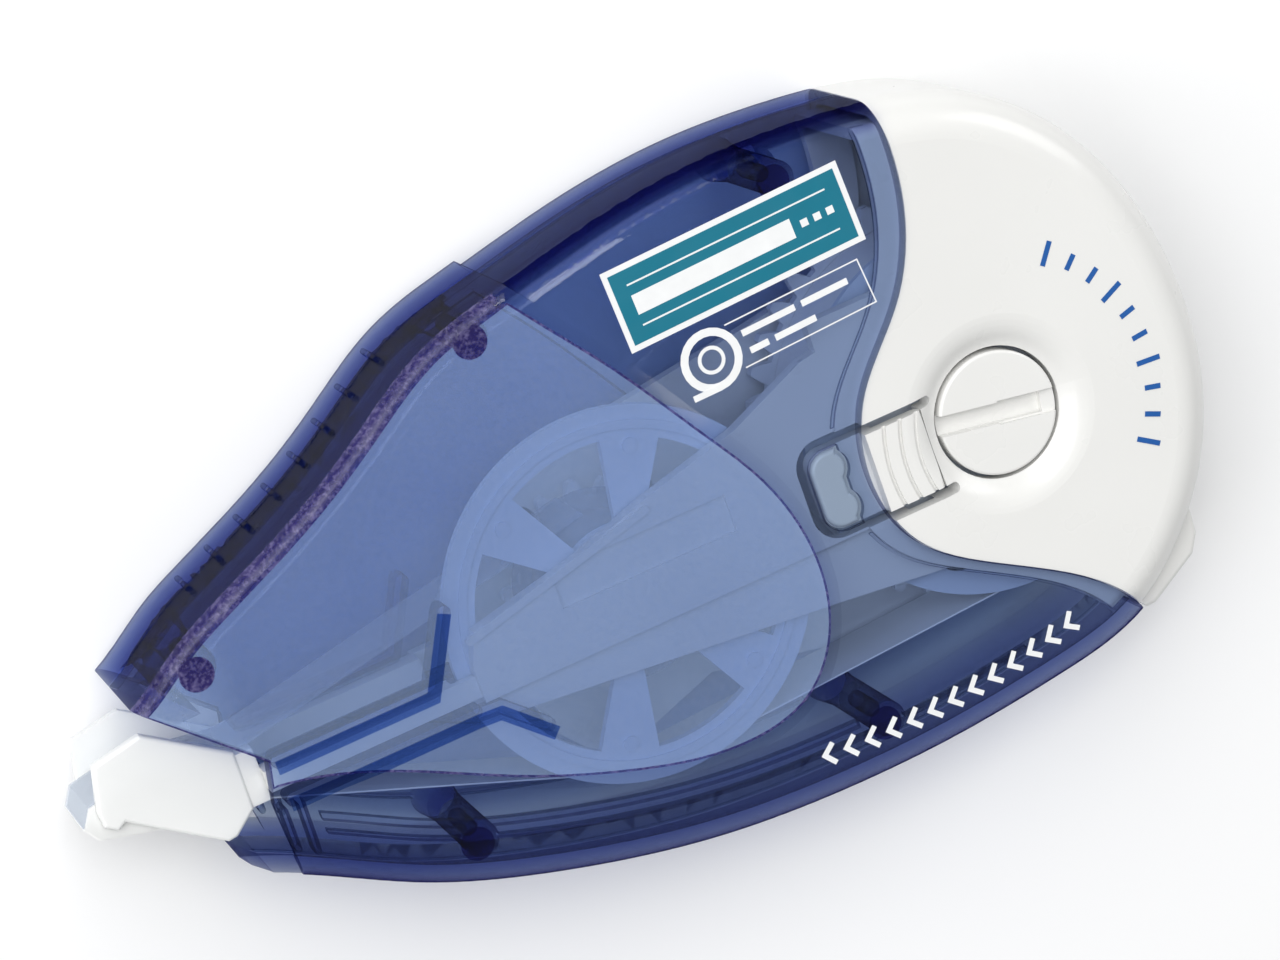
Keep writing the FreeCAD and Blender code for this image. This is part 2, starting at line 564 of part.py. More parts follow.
def idler_place():
    """Where the idler meshes with both gears: the corner of a triangle with the three centre distances."""
    d1 = MODULE * (SUPPLY_TEETH + IDLER_TEETH) / 2
    d2 = MODULE * (TAKEUP_TEETH + IDLER_TEETH) / 2
    line = TAKEUP - SUPPLY
    span = line.Length
    along = (d1 * d1 - d2 * d2 + span * span) / (2 * span)
    aside = math.sqrt(max(0.0, d1 * d1 - along * along))
    u = V(line).normalize()
    return SUPPLY + u * along + V(-u.y, u.x, 0) * aside


def meshing_phase(a, teeth_a, phase_a, b, teeth_b):
    """Phase that puts a gap of gear b where gear a has a tooth, on the line between their centres."""
    towards = math.atan2(b.y - a.y, b.x - a.x)
    return towards + math.pi - (math.pi - (towards - phase_a) * teeth_a) / teeth_b


def supply_parts():
    """What turns on the supply axle: gear, friction ring, core with its tape, flange and rewind knob."""
    hub_r, clutch_r = 4.5, 6.0
    wheel = gear(SUPPLY, SUPPLY_TEETH, 0.0, GEAR_LOW, GEAR_HIGH)
    wheel = fuse(wheel, cylinder(SUPPLY, hub_r, GEAR_HIGH - 0.1, 14.6))
    wheel = wheel.cut(cylinder(SUPPLY, AXLE_R + RUNNING_GAP, 0, 14.2))
    clutch = ring(SUPPLY, hub_r, clutch_r, 7.0, 13.0)
    slot = prism([(SUPPLY.x, SUPPLY.y), (SUPPLY.x + 9, SUPPLY.y - 1.6), (SUPPLY.x + 9, SUPPLY.y + 1.6)], 0, THICKNESS)
    flange = ring(SUPPLY, hub_r, 18.0, 14.9, 15.6)
    for angle in range(0, 360, 60):
        flange = flange.cut(cylinder(polar(SUPPLY, 13.2, angle), 2.6, 14, 16))
    knob = fuse(cylinder(SUPPLY, hub_r - 0.4, 14.6, 17.1), cylinder(SUPPLY, KNOB_R, 16.6, KNOB_TOP))
    knob = knob.makeFillet(0.3, [e for e in knob.Edges if e.BoundBox.ZMin > KNOB_TOP - 0.01])
    coin = fuse(box(-KNOB_R - 1, KNOB_R - 1.4, -1.0, 1.0, KNOB_TOP - 1.3, THICKNESS),
                box(0, KNOB_R + 1, -1.15, 1.15, KNOB_TOP - 0.5, THICKNESS))
    coin.rotate(V(0, 0, 0), V(0, 0, 1), -10)
    coin.translate(SUPPLY)
    return {
        "supply_gear": wheel,
        "clutch_ring": clutch.cut(slot),
        "supply_core": ring(SUPPLY, clutch_r, CORE_R, CORE_LOW, 14.9),
        "supply_flange": flange,
        "fresh_tape_roll": ring(SUPPLY, CORE_R, FULL_ROLL_R, TAPE_LOW, TAPE_HIGH),
        "rewind_knob": knob.cut(coin),
    }


def sector_window(start, end, r_in, r_out):
    """Ring sector through the reel's flange, from one angle to another."""
    corners = [polar(TAKEUP, r, a) for r, a in ((r_in, start), (r_out, start), (r_out, end), (r_in, end))]
    middle = (start + end) / 2
    edges = [Part.makeLine(corners[0], corners[1]),
             Part.Arc(corners[1], polar(TAKEUP, r_out, middle), corners[2]).toShape(),
             Part.makeLine(corners[2], corners[3]),
             Part.Arc(corners[3], polar(TAKEUP, r_in, middle), corners[0]).toShape()]
    return sheet_prism(edges, 0, THICKNESS)


def takeup_parts(phase):
    """What turns on the take-up axle: gear, core, windowed reel flange and the coil of used liner."""
    hub_r, core_r = 4.0, 6.4
    wheel = fuse(gear(TAKEUP, TAKEUP_TEETH, phase, GEAR_LOW, GEAR_HIGH),
                 cylinder(TAKEUP, hub_r, GEAR_HIGH - 0.1, 14.9))
    wheel = wheel.cut(cylinder(TAKEUP, AXLE_R + RUNNING_GAP, 0, 14.6))
    reel = fuse(cylinder(TAKEUP, REEL_R, REEL_LOW, REEL_HIGH - 0.1),
                ring(TAKEUP, 15.6, 16.4, REEL_LOW, REEL_HIGH + 0.15))
    pitch = 360 / REEL_WINDOWS
    for i in range(REEL_WINDOWS):
        middle = 100 + pitch * i
        reel = reel.cut(sector_window(middle - 19, middle + 19, 6.9, 14.8))
        bump = polar(TAKEUP, 14.0, middle + pitch / 2)
        reel = reel.fuse(cylinder(bump, 0.7, REEL_LOW, REEL_HIGH + 0.15))
    return {
        "takeup_gear": wheel,
        "takeup_core": ring(TAKEUP, hub_r, core_r, CORE_LOW, REEL_LOW),
        "takeup_reel": reel.removeSplitter(),
        "spent_tape_coil": ring(TAKEUP, core_r, SPENT_R, TAPE_LOW, TAPE_HIGH),
    }


# ---- the whole roller ------------------------------------------------------------------------------------
def build():
    idler = idler_place()
    idler_phase = meshing_phase(SUPPLY, SUPPLY_TEETH, 0.0, idler, IDLER_TEETH)
    takeup_phase = meshing_phase(idler, IDLER_TEETH, idler_phase, TAKEUP, TAKEUP_TEETH)
    near, far = housing()
    cover = rear_cover()
    near_latch = latch()
    idler_gear = gear(idler, IDLER_TEETH, idler_phase, GEAR_LOW, GEAR_HIGH)
    parts = {
        "housing_near_shell": near,
        "housing_far_shell": far,
        "refill_near_frame": near_frame(cover),
        "refill_far_frame": far_frame(cover, idler),
        "near_latch": near_latch,
        "far_latch": mirrored(near_latch),
        "tip_carrier": tip_carrier(),
        "tip_blade": tip_blade(),
        "fresh_tape_run": fresh_tape_run(),
        "spent_tape_run": spent_tape_run(),
        "idler_gear": idler_gear.cut(cylinder(idler, IDLER_AXLE_R + RUNNING_GAP, 0, THICKNESS)),
    }
    parts.update(supply_parts())
    parts.update(takeup_parts(takeup_phase))
    return parts


def main():
    os.makedirs("parts", exist_ok=True)
    whole = FreeCAD.BoundBox()
    for name, shape in build().items():
        shape.translate(ORIGIN_SHIFT)
        print(name, shape.ShapeType, len(shape.Solids), shape.isValid(), round(shape.Volume, 1))
        shape.exportStep("parts/%s.step" % name)
        whole.add(shape.optimalBoundingBox())
    print("box", whole)
    print("idler", idler_place() + ORIGIN_SHIFT)


main()
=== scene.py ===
"""Looks of the correction tape roller: materials, thin skins, printed marks, camera, light and floor."""
import math
import bpy
import bmesh
from mathutils import Matrix, Vector
from mathutils.bvhtree import BVHTree


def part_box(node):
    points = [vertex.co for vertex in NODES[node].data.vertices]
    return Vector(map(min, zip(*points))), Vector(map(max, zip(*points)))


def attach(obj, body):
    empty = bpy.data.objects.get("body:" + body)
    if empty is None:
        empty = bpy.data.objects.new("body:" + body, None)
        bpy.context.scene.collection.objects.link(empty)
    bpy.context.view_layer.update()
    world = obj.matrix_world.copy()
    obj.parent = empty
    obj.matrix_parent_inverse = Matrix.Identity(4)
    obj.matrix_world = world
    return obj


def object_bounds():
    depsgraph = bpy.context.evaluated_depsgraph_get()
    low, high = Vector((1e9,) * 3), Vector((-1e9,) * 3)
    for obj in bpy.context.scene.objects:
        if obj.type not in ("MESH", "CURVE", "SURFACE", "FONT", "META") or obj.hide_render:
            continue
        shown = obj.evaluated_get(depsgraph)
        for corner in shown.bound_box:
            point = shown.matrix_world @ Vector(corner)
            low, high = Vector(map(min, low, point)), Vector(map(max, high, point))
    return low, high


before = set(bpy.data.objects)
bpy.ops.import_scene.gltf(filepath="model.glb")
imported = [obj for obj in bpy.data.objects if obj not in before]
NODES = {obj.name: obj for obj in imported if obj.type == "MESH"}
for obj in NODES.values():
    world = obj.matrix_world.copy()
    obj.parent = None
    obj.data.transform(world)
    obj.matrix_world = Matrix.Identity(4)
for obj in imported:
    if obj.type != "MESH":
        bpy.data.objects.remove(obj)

CAD_BOX = [list(v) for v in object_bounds()]
MM = 0.001

# ---- places that follow from the CAD, in metres ----------------------------------------------------------
LOW, HIGH = (Vector(v) for v in CAD_BOX)
LENGTH = HIGH.x - LOW.x
PAD_TOP = HIGH.z                            # the frosted pad, the outermost face
KNOB = sum(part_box("rewind_knob"), Vector()) / 2


# ---- camera ----------------------------------------------------------------------------------------------
CAMERA_TARGET = Vector((2.85, 3.0, 10.5)) * MM
CAMERA_BACK = Vector((-0.22518, 0.28088, 0.93295)).normalized()
CAMERA_DISTANCE = 389.6 * MM
CAMERA_UP = math.radians(69.65)             # direction in the XY plane that points up in the picture
CAMERA_LENS, CAMERA_SENSOR = 118.125, 36


def make_camera():
    """Looks down on the near face, from the side of the curved back and a little from the tip."""
    hint = Vector((math.cos(CAMERA_UP), math.sin(CAMERA_UP), 0))
    up = (hint - CAMERA_BACK * hint.dot(CAMERA_BACK)).normalized()
    right = up.cross(CAMERA_BACK)
    turn = Matrix((right, up, CAMERA_BACK)).transposed().to_4x4()
    data = bpy.data.cameras.new("camera")
    data.sensor_width = CAMERA_SENSOR
    data.lens = CAMERA_LENS
    data.clip_start, data.clip_end = 0.01, 20
    camera = bpy.data.objects.new("camera", data)
    camera.matrix_world = Matrix.Translation(CAMERA_TARGET + CAMERA_BACK * CAMERA_DISTANCE) @ turn
    bpy.context.scene.collection.objects.link(camera)
    bpy.context.scene.camera = camera


# ---- light and floor -------------------------------------------------------------------------------------
SKY_COLOUR, SKY_STRENGTH = (0.95, 0.97, 1.0, 1), 0.22
FLOOR_REACH = 3.0
FLOOR_LEVEL = LOW.z - 0.05 * MM             # just below the etched skin of the far pad


def area_light(name, place, target, size, power):
    data = bpy.data.lights.new(name, "AREA")
    data.shape, data.size, data.size_y = "RECTANGLE", size[0], size[1]
    data.energy = power
    lamp = bpy.data.objects.new(name, data)
    lamp.location = place
    lamp.rotation_euler = (Vector(target) - Vector(place)).to_track_quat("-Z", "Y").to_euler()
    bpy.context.scene.collection.objects.link(lamp)


def make_studio():
    world = bpy.data.worlds.new("studio")
    world.use_nodes = True
    sky = world.node_tree.nodes["Background"].inputs
    sky["Color"].default_value, sky["Strength"].default_value = SKY_COLOUR, SKY_STRENGTH
    bpy.context.scene.world = world
    area_light("key", (-0.22, 0.62, 0.62), (0, 0, 0), (0.9, 0.6), 3.6)
    area_light("over", (-0.08, 0.34, 0.90), (0, 0, 0), (0.45, 0.40), 3.0)
    area_light("front", (-0.55, 0.10, 0.60), (0, 0, 0), (0.5, 0.7), 3.4)
    area_light("rim", (0.60, 0.25, 0.35), (0, 0, 0.01), (0.35, 0.35), 1.2)
    mesh = bpy.data.meshes.new("floor")
    corners = ((-1, -1), (1, -1), (1, 1), (-1, 1))
    points = [(x * FLOOR_REACH, y * FLOOR_REACH, FLOOR_LEVEL) for x, y in corners]
    mesh.from_pydata(points, [], [(0, 1, 2, 3)])
    floor = bpy.data.objects.new("floor", mesh)
    bpy.context.scene.collection.objects.link(floor)
    floor.data.materials.append(floor_paper())


# ---- node helpers ----------------------------------------------------------------------------------------
class Tree:
    """A new material, with short calls to add and join its nodes."""

    def __init__(self, name):
        self.material = bpy.data.materials.new(name)
        self.material.use_nodes = True
        self.nodes, self.links = self.material.node_tree.nodes, self.material.node_tree.links
        self.nodes.clear()
        self.out = self.nodes.new("ShaderNodeOutputMaterial")

    def add(self, kind, **values):
        node = self.nodes.new("ShaderNode" + kind)
        for key, value in values.items():
            key = key.replace("_", " ")
            if key in node.inputs:
                node.inputs[key].default_value = value
            else:
                setattr(node, key.replace(" ", "_"), value)
        return node

    def join(self, a, b):
        self.links.new(a, b)

    def place(self):
        return self.add("TexCoord").outputs["Object"]

    def noise(self, scale, detail=2.0, roughness=0.5):
        node = self.add("TexNoise", Scale=scale, Detail=detail, Roughness=roughness)
        self.join(self.place(), node.inputs["Vector"])
        return node.outputs["Fac"]

    def ramp(self, factor, low, high, start=0.3, stop=0.7):
        node = self.add("MapRange")
        node.inputs["From Min"].default_value, node.inputs["From Max"].default_value = start, stop
        node.inputs["To Min"].default_value, node.inputs["To Max"].default_value = low, high
        self.join(factor, node.inputs["Value"])
        return node.outputs["Result"]

    def blend(self, factor, a, b):
        node = self.add("Mix", data_type="RGBA")
        self.join(factor, node.inputs["Factor"])
        first, second = (s for s in node.inputs if s.type == "RGBA")
        first.default_value, second.default_value = (*a, 1), (*b, 1)
        return next(s for s in node.outputs if s.type == "RGBA")

    def grazing(self, straight, edge_on, sharpness):
        """A share that grows from a surface seen straight on to one seen edge on, alike from both sides."""
        weight = self.add("LayerWeight", Blend=0.5)
        power = self.add("Math", operation="POWER")
        power.inputs[1].default_value = sharpness
        self.join(weight.outputs["Facing"], power.inputs[0])
        return self.ramp(power.outputs[0], straight, edge_on, 0.0, 1.0)

    def bump(self, height, strength, distance):
        node = self.add("Bump", Strength=strength, Distance=distance)
        self.join(height, node.inputs["Height"])
        return node.outputs["Normal"]


def floor_paper():
    t = Tree("floor_paper")
    shader = t.add("BsdfPrincipled", Roughness=0.9)
    t.join(t.blend(t.noise(3.0), (0.90, 0.90, 0.90), (0.93, 0.93, 0.93)), shader.inputs["Base Color"])
    t.join(shader.outputs[0], t.out.inputs["Surface"])
    return t.material


# ---- plastics --------------------------------------------------------------------------------------------
SKIN_TINT = (0.905, 0.942, 0.945, 1)       # kept by each surface that light crosses
DEPTH_COLOUR = (0.20, 0.34, 0.80, 1)       # with the density below, what a metre of clear plastic keeps
DEPTH_DENSITY = 250.0
EDGE_TINT = (0.045, 0.05, 0.23, 1)         # kept by a surface seen edge on
EDGE_SHARE = 0.95
MIRROR_SHARE = 0.028


def clear_blue(name, sharpness):
    """Tinted clear plastic, coloured by its depth and a little by each surface that light crosses.

    The lower the sharpness, the broader the dark band along its rounded rims.
    """
    t = Tree(name)
    through = t.add("BsdfTransparent", Color=SKIN_TINT)
    deep = t.add("BsdfTransparent", Color=EDGE_TINT)
    tint = t.add("MixShader")
    t.join(t.grazing(0.0, EDGE_SHARE, sharpness), tint.inputs["Fac"])
    t.join(through.outputs[0], tint.inputs[1])
    t.join(deep.outputs[0], tint.inputs[2])
    mirror = t.add("BsdfAnisotropic", Color=(1, 1, 1, 1))
    t.join(t.ramp(t.noise(120.0, 3.0), 0.02, 0.05), mirror.inputs["Roughness"])
    t.join(t.bump(t.noise(60.0, 1.0), 0.08, 0.00004), mirror.inputs["Normal"])
    skin = t.add("MixShader", Fac=MIRROR_SHARE)
    t.join(tint.outputs[0], skin.inputs[1])
    t.join(mirror.outputs[0], skin.inputs[2])
    t.join(skin.outputs[0], t.out.inputs["Surface"])
    depth = t.add("VolumeAbsorption", Color=DEPTH_COLOUR, Density=DEPTH_DENSITY)
    t.join(depth.outputs[0], t.out.inputs["Volume"])
    return t.material


HIGHLIGHT_FROM, HIGHLIGHT_TO = LOW.x + 0.04 * LENGTH, LOW.x + 0.15 * LENGTH
FRONT_HIGHLIGHT = 0.30                          # painted highlight: added to the share of milk at the front corner of a pad


def frost():
    """The etched skin of a pad: a thin milky haze with a fine sparkling grain, and more milk at the front
    corner of a pad as a painted highlight.
    """
    t = Tree("frost")
    through = t.add("BsdfTransparent", Color=(1, 1, 1, 1))
    milk = t.add("BsdfPrincipled")
    t.join(t.blend(t.noise(2600.0, 4.0), (0.30, 0.46, 0.78), (0.50, 0.64, 0.92)), milk.inputs["Base Color"])
    t.join(t.ramp(t.noise(1800.0), 0.35, 0.5), milk.inputs["Roughness"])
    t.join(t.bump(t.noise(4200.0, 2.0), 0.4, 0.00003), milk.inputs["Normal"])
    along = t.add("SeparateXYZ")
    t.join(t.place(), along.inputs[0])
    # painted highlight: the milk grows toward the front corner of a pad
    front = t.ramp(along.outputs["X"], FRONT_HIGHLIGHT, 0.0, HIGHLIGHT_FROM, HIGHLIGHT_TO)
    cloud = t.add("Math", operation="ADD")
    t.join(t.ramp(t.noise(25.0, 2.0), 0.20, 0.30), cloud.inputs[0])
    t.join(front, cloud.inputs[1])
    mix = t.add("MixShader")
    t.join(cloud.outputs[0], mix.inputs["Fac"])
    t.join(through.outputs[0], mix.inputs[1])
    t.join(milk.outputs[0], mix.inputs[2])
    t.join(mix.outputs[0], t.out.inputs["Surface"])
    return t.material


def painted_edge_shade():
    """Painted shade for the bevel round a pad, its edge line and the posts seen behind it: dark because it
    looks into the depth of the plastic, with lighter specks as painted sparkle.
    """
    t = Tree("painted_edge_shade")
    through = t.add("BsdfTransparent", Color=(0.55, 0.60, 0.85, 1))
    dark = t.add("BsdfPrincipled", Roughness=0.34)
    sparkle = t.ramp(t.noise(2600.0, 3.0), 0.0, 1.0, 0.45, 0.75)
    t.join(t.blend(sparkle, (0.022, 0.014, 0.11), (0.16, 0.14, 0.30)), dark.inputs["Base Color"])
    t.join(t.bump(t.noise(1500.0, 2.0), 0.3, 0.00003), dark.inputs["Normal"])
    mix = t.add("MixShader")
    t.join(t.ramp(t.noise(500.0, 2.0), 0.45, 0.85), mix.inputs["Fac"])
    t.join(through.outputs[0], mix.inputs[1])
    t.join(dark.outputs[0], mix.inputs[2])
    t.join(mix.outputs[0], t.out.inputs["Surface"])
    return t.material


def opaque(name, low, high, rough, grain=1500.0, grain_depth=0.00001, subsurface=0.0, coat=0.0):
    """Moulded plastic with a little variation of colour and gloss, and the fine grain of its mould."""
    t = Tree(name)
    shader = t.add("BsdfPrincipled")
    t.join(t.blend(t.ramp(t.noise(40.0, 3.0), 0.0, 1.0), low, high), shader.inputs["Base Color"])
    t.join(t.ramp(t.noise(150.0, 3.0), rough * 0.85, rough * 1.15), shader.inputs["Roughness"])
    t.join(t.bump(t.noise(grain, 2.0), 0.3, grain_depth), shader.inputs["Normal"])
    shader.inputs["Subsurface Weight"].default_value = subsurface
    shader.inputs["Subsurface Radius"].default_value = (1.0, 1.0, 1.0)
    shader.inputs["Subsurface Scale"].default_value = 0.0015
    shader.inputs["Coat Weight"].default_value = coat
    shader.inputs["Coat Roughness"].default_value = 0.12
    t.join(shader.outputs[0], t.out.inputs["Surface"])
    return t.material


def painted_depth_shade(name, low, high):
    """Painted shade: a tinted sheet that darkens what lies under a post or rail, where light runs down the
    length of the plastic.
    """
    t = Tree(name)
    tint = t.add("BsdfTransparent")
    t.join(t.blend(t.noise(200.0, 2.0), low, high), tint.inputs["Color"])
    t.join(tint.outputs[0], t.out.inputs["Surface"])
    return t.material


def rim_shade_material():
    """Painted shade for the rounded rims: a violet tint which fades out where the rim meets a flat face."""
    t = Tree("painted_rim_shade")
    clear = t.add("BsdfTransparent", Color=(1, 1, 1, 1))
    tint = t.add("BsdfTransparent")
    t.join(t.blend(t.noise(200.0, 2.0), (0.22, 0.19, 0.50), (0.28, 0.26, 0.58)), tint.inputs["Color"])
    facing = t.add("SeparateXYZ")
    t.join(t.add("TexCoord").outputs["Normal"], facing.inputs[0])
    mix = t.add("MixShader")
    t.join(t.ramp(facing.outputs["Z"], 1.0, 0.0, 0.45, 0.84), mix.inputs["Fac"])
    t.join(clear.outputs[0], mix.inputs[1])
    t.join(tint.outputs[0], mix.inputs[2])
    t.join(mix.outputs[0], t.out.inputs["Surface"])
    return t.material


def see_through_liner():
    """Bare liner, thin enough to see through."""
    t = Tree("tape_liner")
    through = t.add("BsdfTransparent", Color=(0.95, 0.97, 1.0, 1))
    film = t.add("BsdfPrincipled", Roughness=0.35)
    t.join(t.blend(t.noise(60.0), (0.60, 0.64, 0.70), (0.66, 0.70, 0.76)), film.inputs["Base Color"])
    mix = t.add("MixShader", Fac=0.3)
    t.join(through.outputs[0], mix.inputs[1])
    t.join(film.outputs[0], mix.inputs[2])
    t.join(mix.outputs[0], t.out.inputs["Surface"])
    return t.material


def ink(name, colour, rough=0.45):
    t = Tree(name)
    shader = t.add("BsdfPrincipled")
    darker = tuple(c * 0.9 for c in colour)
    t.join(t.blend(t.noise(700.0, 2.0), colour, darker), shader.inputs["Base Color"])
    t.join(t.ramp(t.noise(400.0), rough * 0.9, rough * 1.1), shader.inputs["Roughness"])
    t.join(shader.outputs[0], t.out.inputs["Surface"])
    return t.material


def give(node, *materials):
    slots = NODES[node].data.materials
    slots.clear()
    for material in materials:
        slots.append(material)


def dress_cad():
    white = opaque("white_shell", (0.76, 0.757, 0.735), (0.79, 0.787, 0.765), 0.30,
                   subsurface=0.08, coat=0.25)
    milky = opaque("milky_tip", (0.78, 0.79, 0.78), (0.83, 0.835, 0.82), 0.34, subsurface=0.5)
    film = opaque("tape_white", (0.86, 0.86, 0.85), (0.9, 0.9, 0.89), 0.6, grain=5000.0)
    liner = see_through_liner()
    acetal = opaque("gear_plastic", (0.72, 0.73, 0.74), (0.77, 0.78, 0.79), 0.42)
    grey = opaque("clutch_plastic", (0.10, 0.10, 0.11), (0.13, 0.13, 0.14), 0.6)
    reel = opaque("reel_plastic", (0.62, 0.68, 0.78), (0.68, 0.74, 0.84), 0.35)
    plain = {
        "refill_near_frame": white, "refill_far_frame": white, "near_latch": white, "far_latch": white,
        "rewind_knob": white, "tip_carrier": milky, "tip_blade": milky, "fresh_tape_run": film,
        "fresh_tape_roll": film, "spent_tape_run": liner, "spent_tape_coil": liner, "supply_gear": acetal,
        "idler_gear": acetal, "takeup_gear": acetal, "clutch_ring": grey, "supply_core": reel,
        "supply_flange": reel, "takeup_core": reel, "takeup_reel": reel,
    }
    for node, material in plain.items():
        give(node, material)
    give("housing_near_shell", clear_blue("clear_blue_near", sharpness=1.7))
    give("housing_far_shell", clear_blue("clear_blue_far", sharpness=3.4))


# ---- added pieces ----------------------------------------------------------------------------------------
SKIN_LIFT = 0.015 * MM                      # printed and etched skins lie this far outside the plastic
INK_DEPTH = 0.03 * MM
FLAT = 0.02 * MM                            # a face within this of the outermost level counts as flat
PAD_SHADE_WIDTH = 0.22 * MM                        # width of the painted dark shade line round a pad
NEAR_PAD_RIM, FAR_PAD_RIM = 1.25 * MM, 0.4 * MM             # how deep the painted shade on the rim of each pad reaches
GRIP_LOW_Y, GRIP_HIGH_X = 0.12 * HIGH.y, -0.11 * HIGH.x     # the finger grip lies above and ahead of these
MESH_STEP = 0.4 * MM                        # printed shapes are divided at least this finely
FACING_OUT = 0.02                           # least Z of the normal of a face that looks outwards


def add_piece(name, shape, body, material):
    """Makes a visible piece of a bmesh, which is used up, and lets it ride on a body."""
    mesh = bpy.data.meshes.new(name)
    shape.to_mesh(mesh)
    shape.free()
    piece = bpy.data.objects.new(name, mesh)
    bpy.context.scene.collection.objects.link(piece)
    mesh.materials.append(material)
    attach(piece, body)
    return piece


def depths(face, outward):
    """How far the corners of a face lie below the outermost level on its side."""
    level = PAD_TOP if outward > 0 else LOW.z
    return [outward * (level - v.co.z) for v in face.verts]


def shape_of(node):
    """A bmesh of the mesh of a CAD node."""
    shape = bmesh.new()
    shape.from_mesh(NODES[node].data)
    return shape


def lift(shape, distance):
    """Moves every vertex out along its normal."""
    for vertex, normal in [(v, v.normal.copy()) for v in shape.verts]:
        vertex.co += normal * distance


def pad_face(node, outward):
    """The flat outer face of a raised pad, lifted off the clear plastic by a hair."""
    shape = shape_of(node)
    off = [face for face in shape.faces if max(map(abs, depths(face, outward))) > FLAT]
    bmesh.ops.delete(shape, geom=off, context="FACES")
    for vertex in shape.verts:
        vertex.co.z += outward * SKIN_LIFT
    return shape


def frost_pad(name, node, outward, material):
    add_piece(name, pad_face(node, outward), "housing", material)


def pad_shade_line(name, node, outward, material):
    """A thin line of painted shade just inside the edge of a pad's flat face."""
    shape = pad_face(node, outward)
    line = bmesh.new()
    ends = {}
    border = [edge for edge in shape.edges if len(edge.link_faces) == 1]
    for vertex in {v for edge in border for v in edge.verts}:
        inward = Vector()
        for edge in (e for e in vertex.link_edges if len(e.link_faces) == 1):
            along = (edge.verts[1].co - edge.verts[0].co).normalized()
            side = Vector((-along.y, along.x, 0))
            facing = side.dot(edge.link_faces[0].calc_center_median() - edge.verts[0].co)
            inward += side if facing > 0 else -side
        place = vertex.co + Vector((0, 0, outward * SKIN_LIFT))
        ends[vertex] = line.verts.new(place), line.verts.new(place + inward.normalized() * PAD_SHADE_WIDTH)
    for edge in border:
        (a, b), (c, d) = ends[edge.verts[0]], ends[edge.verts[1]]
        line.faces.new((a, c, d, b))
    bmesh.ops.recalc_face_normals(line, faces=line.faces)
    shape.free()
    add_piece(name, line, "housing", material)


def pad_rim_shade(name, node, outward, depth, material):
    """Painted shade on the rounded rim of a pad along the finger grip, which is dark because the plastic is
    thick there.
    """
    shape = shape_of(node)
    bmesh.ops.recalc_face_normals(shape, faces=shape.faces)
    off = []
    for face in shape.faces:
        below = depths(face, outward)
        middle = face.calc_center_median()
        on_rim = FLAT < max(below) < depth and outward * face.normal.z > FACING_OUT
        if not (on_rim and middle.y > GRIP_LOW_Y and middle.x < GRIP_HIGH_X):
            off.append(face)
    bmesh.ops.delete(shape, geom=off, context="FACES")
    lift(shape, SKIN_LIFT)
    add_piece(name, shape, "housing", material)


def resample(points, closed):
    """The same path with points no further apart than MESH_STEP."""
    result = []
    ends = points[1:] + points[:1] if closed else points[1:]
    for start, end in zip(points, ends):
        parts = max(1, math.ceil((end - start).length / MESH_STEP))
        result += [start.lerp(end, i / parts) for i in range(parts)]
    return result if closed else result + [points[-1]]


def stroke(shape, points, width, closed=False):
    """Adds a flat stroke of the given width along a path to a mesh, as rows of small quads."""
    path = resample([Vector(p) for p in points], closed)
    across = max(1, math.ceil(width / MESH_STEP))
    rows = []
    for i, point in enumerate(path):
        before = path[i - 1] if i or closed else point
        after = path[(i + 1) % len(path)] if i + 1 < len(path) or closed else point
        ahead, behind = (after - point).normalized(), (point - before).normalized()
        along = (ahead + behind).normalized()
        side = Vector((-along.y, along.x))
        straight = ahead if ahead.length else behind
        reach = width / 2 / max(0.5, abs(along.dot(straight)))
        offsets = [reach * (2 * j / across - 1) for j in range(across + 1)]
        rows.append([shape.verts.new((*(point + side * offset), 0)) for offset in offsets])
    pairs = list(zip(rows, rows[1:] + rows[:1])) if closed else list(zip(rows, rows[1:]))
    for row, following in pairs:
        for j in range(across):
            shape.faces.new((row[j], following[j], following[j + 1], row[j + 1]))


def printed(name, node, body, material, strokes, layer=0):
    """Ink on the face of a CAD piece: strokes laid down on it from above, as a thin raised film."""
    shape = bmesh.new()
    for points, width, closed in strokes:
        stroke(shape, points, width, closed)
    ground = BVHTree.FromPolygons([v.co.copy() for v in NODES[node].data.vertices],
                                  [tuple(p.vertices) for p in NODES[node].data.polygons])
    height = SKIN_LIFT + layer * INK_DEPTH
    for vertex in shape.verts:
        above = Vector((vertex.co.x, vertex.co.y, HIGH.z + MM))
        hit, normal, _, _ = ground.ray_cast(above, Vector((0, 0, -1)))
        vertex.co = hit + normal * height
    bmesh.ops.recalc_face_normals(shape, faces=shape.faces)
    if sum(face.normal.z for face in shape.faces) < 0:
        bmesh.ops.reverse_faces(shape, faces=shape.faces)
    grown = bmesh.ops.extrude_face_region(shape, geom=list(shape.faces))
    for part in grown["geom"]:
        if isinstance(part, bmesh.types.BMVert):
            part.co.z += INK_DEPTH
    bmesh.ops.recalc_face_normals(shape, faces=shape.faces)
    add_piece(name, shape, body, material)


def arc(centre, radius, start, end, steps=24):
    """Points on an arc, with its angles in degrees."""
    turn = [math.radians(start + (end - start) * i / steps) for i in range(steps + 1)]
    return [Vector((centre[0] + radius * math.cos(a), centre[1] + radius * math.sin(a))) for a in turn]


def circle_through(a, b, c):
    """Centre of the circle through three points."""
    ab, ac = b - a, c - a
    twice = 2 * (ab.x * ac.y - ab.y * ac.x)
    return a + Vector((ac.y * ab.length_squared - ab.y * ac.length_squared,
                       ab.x * ac.length_squared - ac.x * ab.length_squared)) / twice


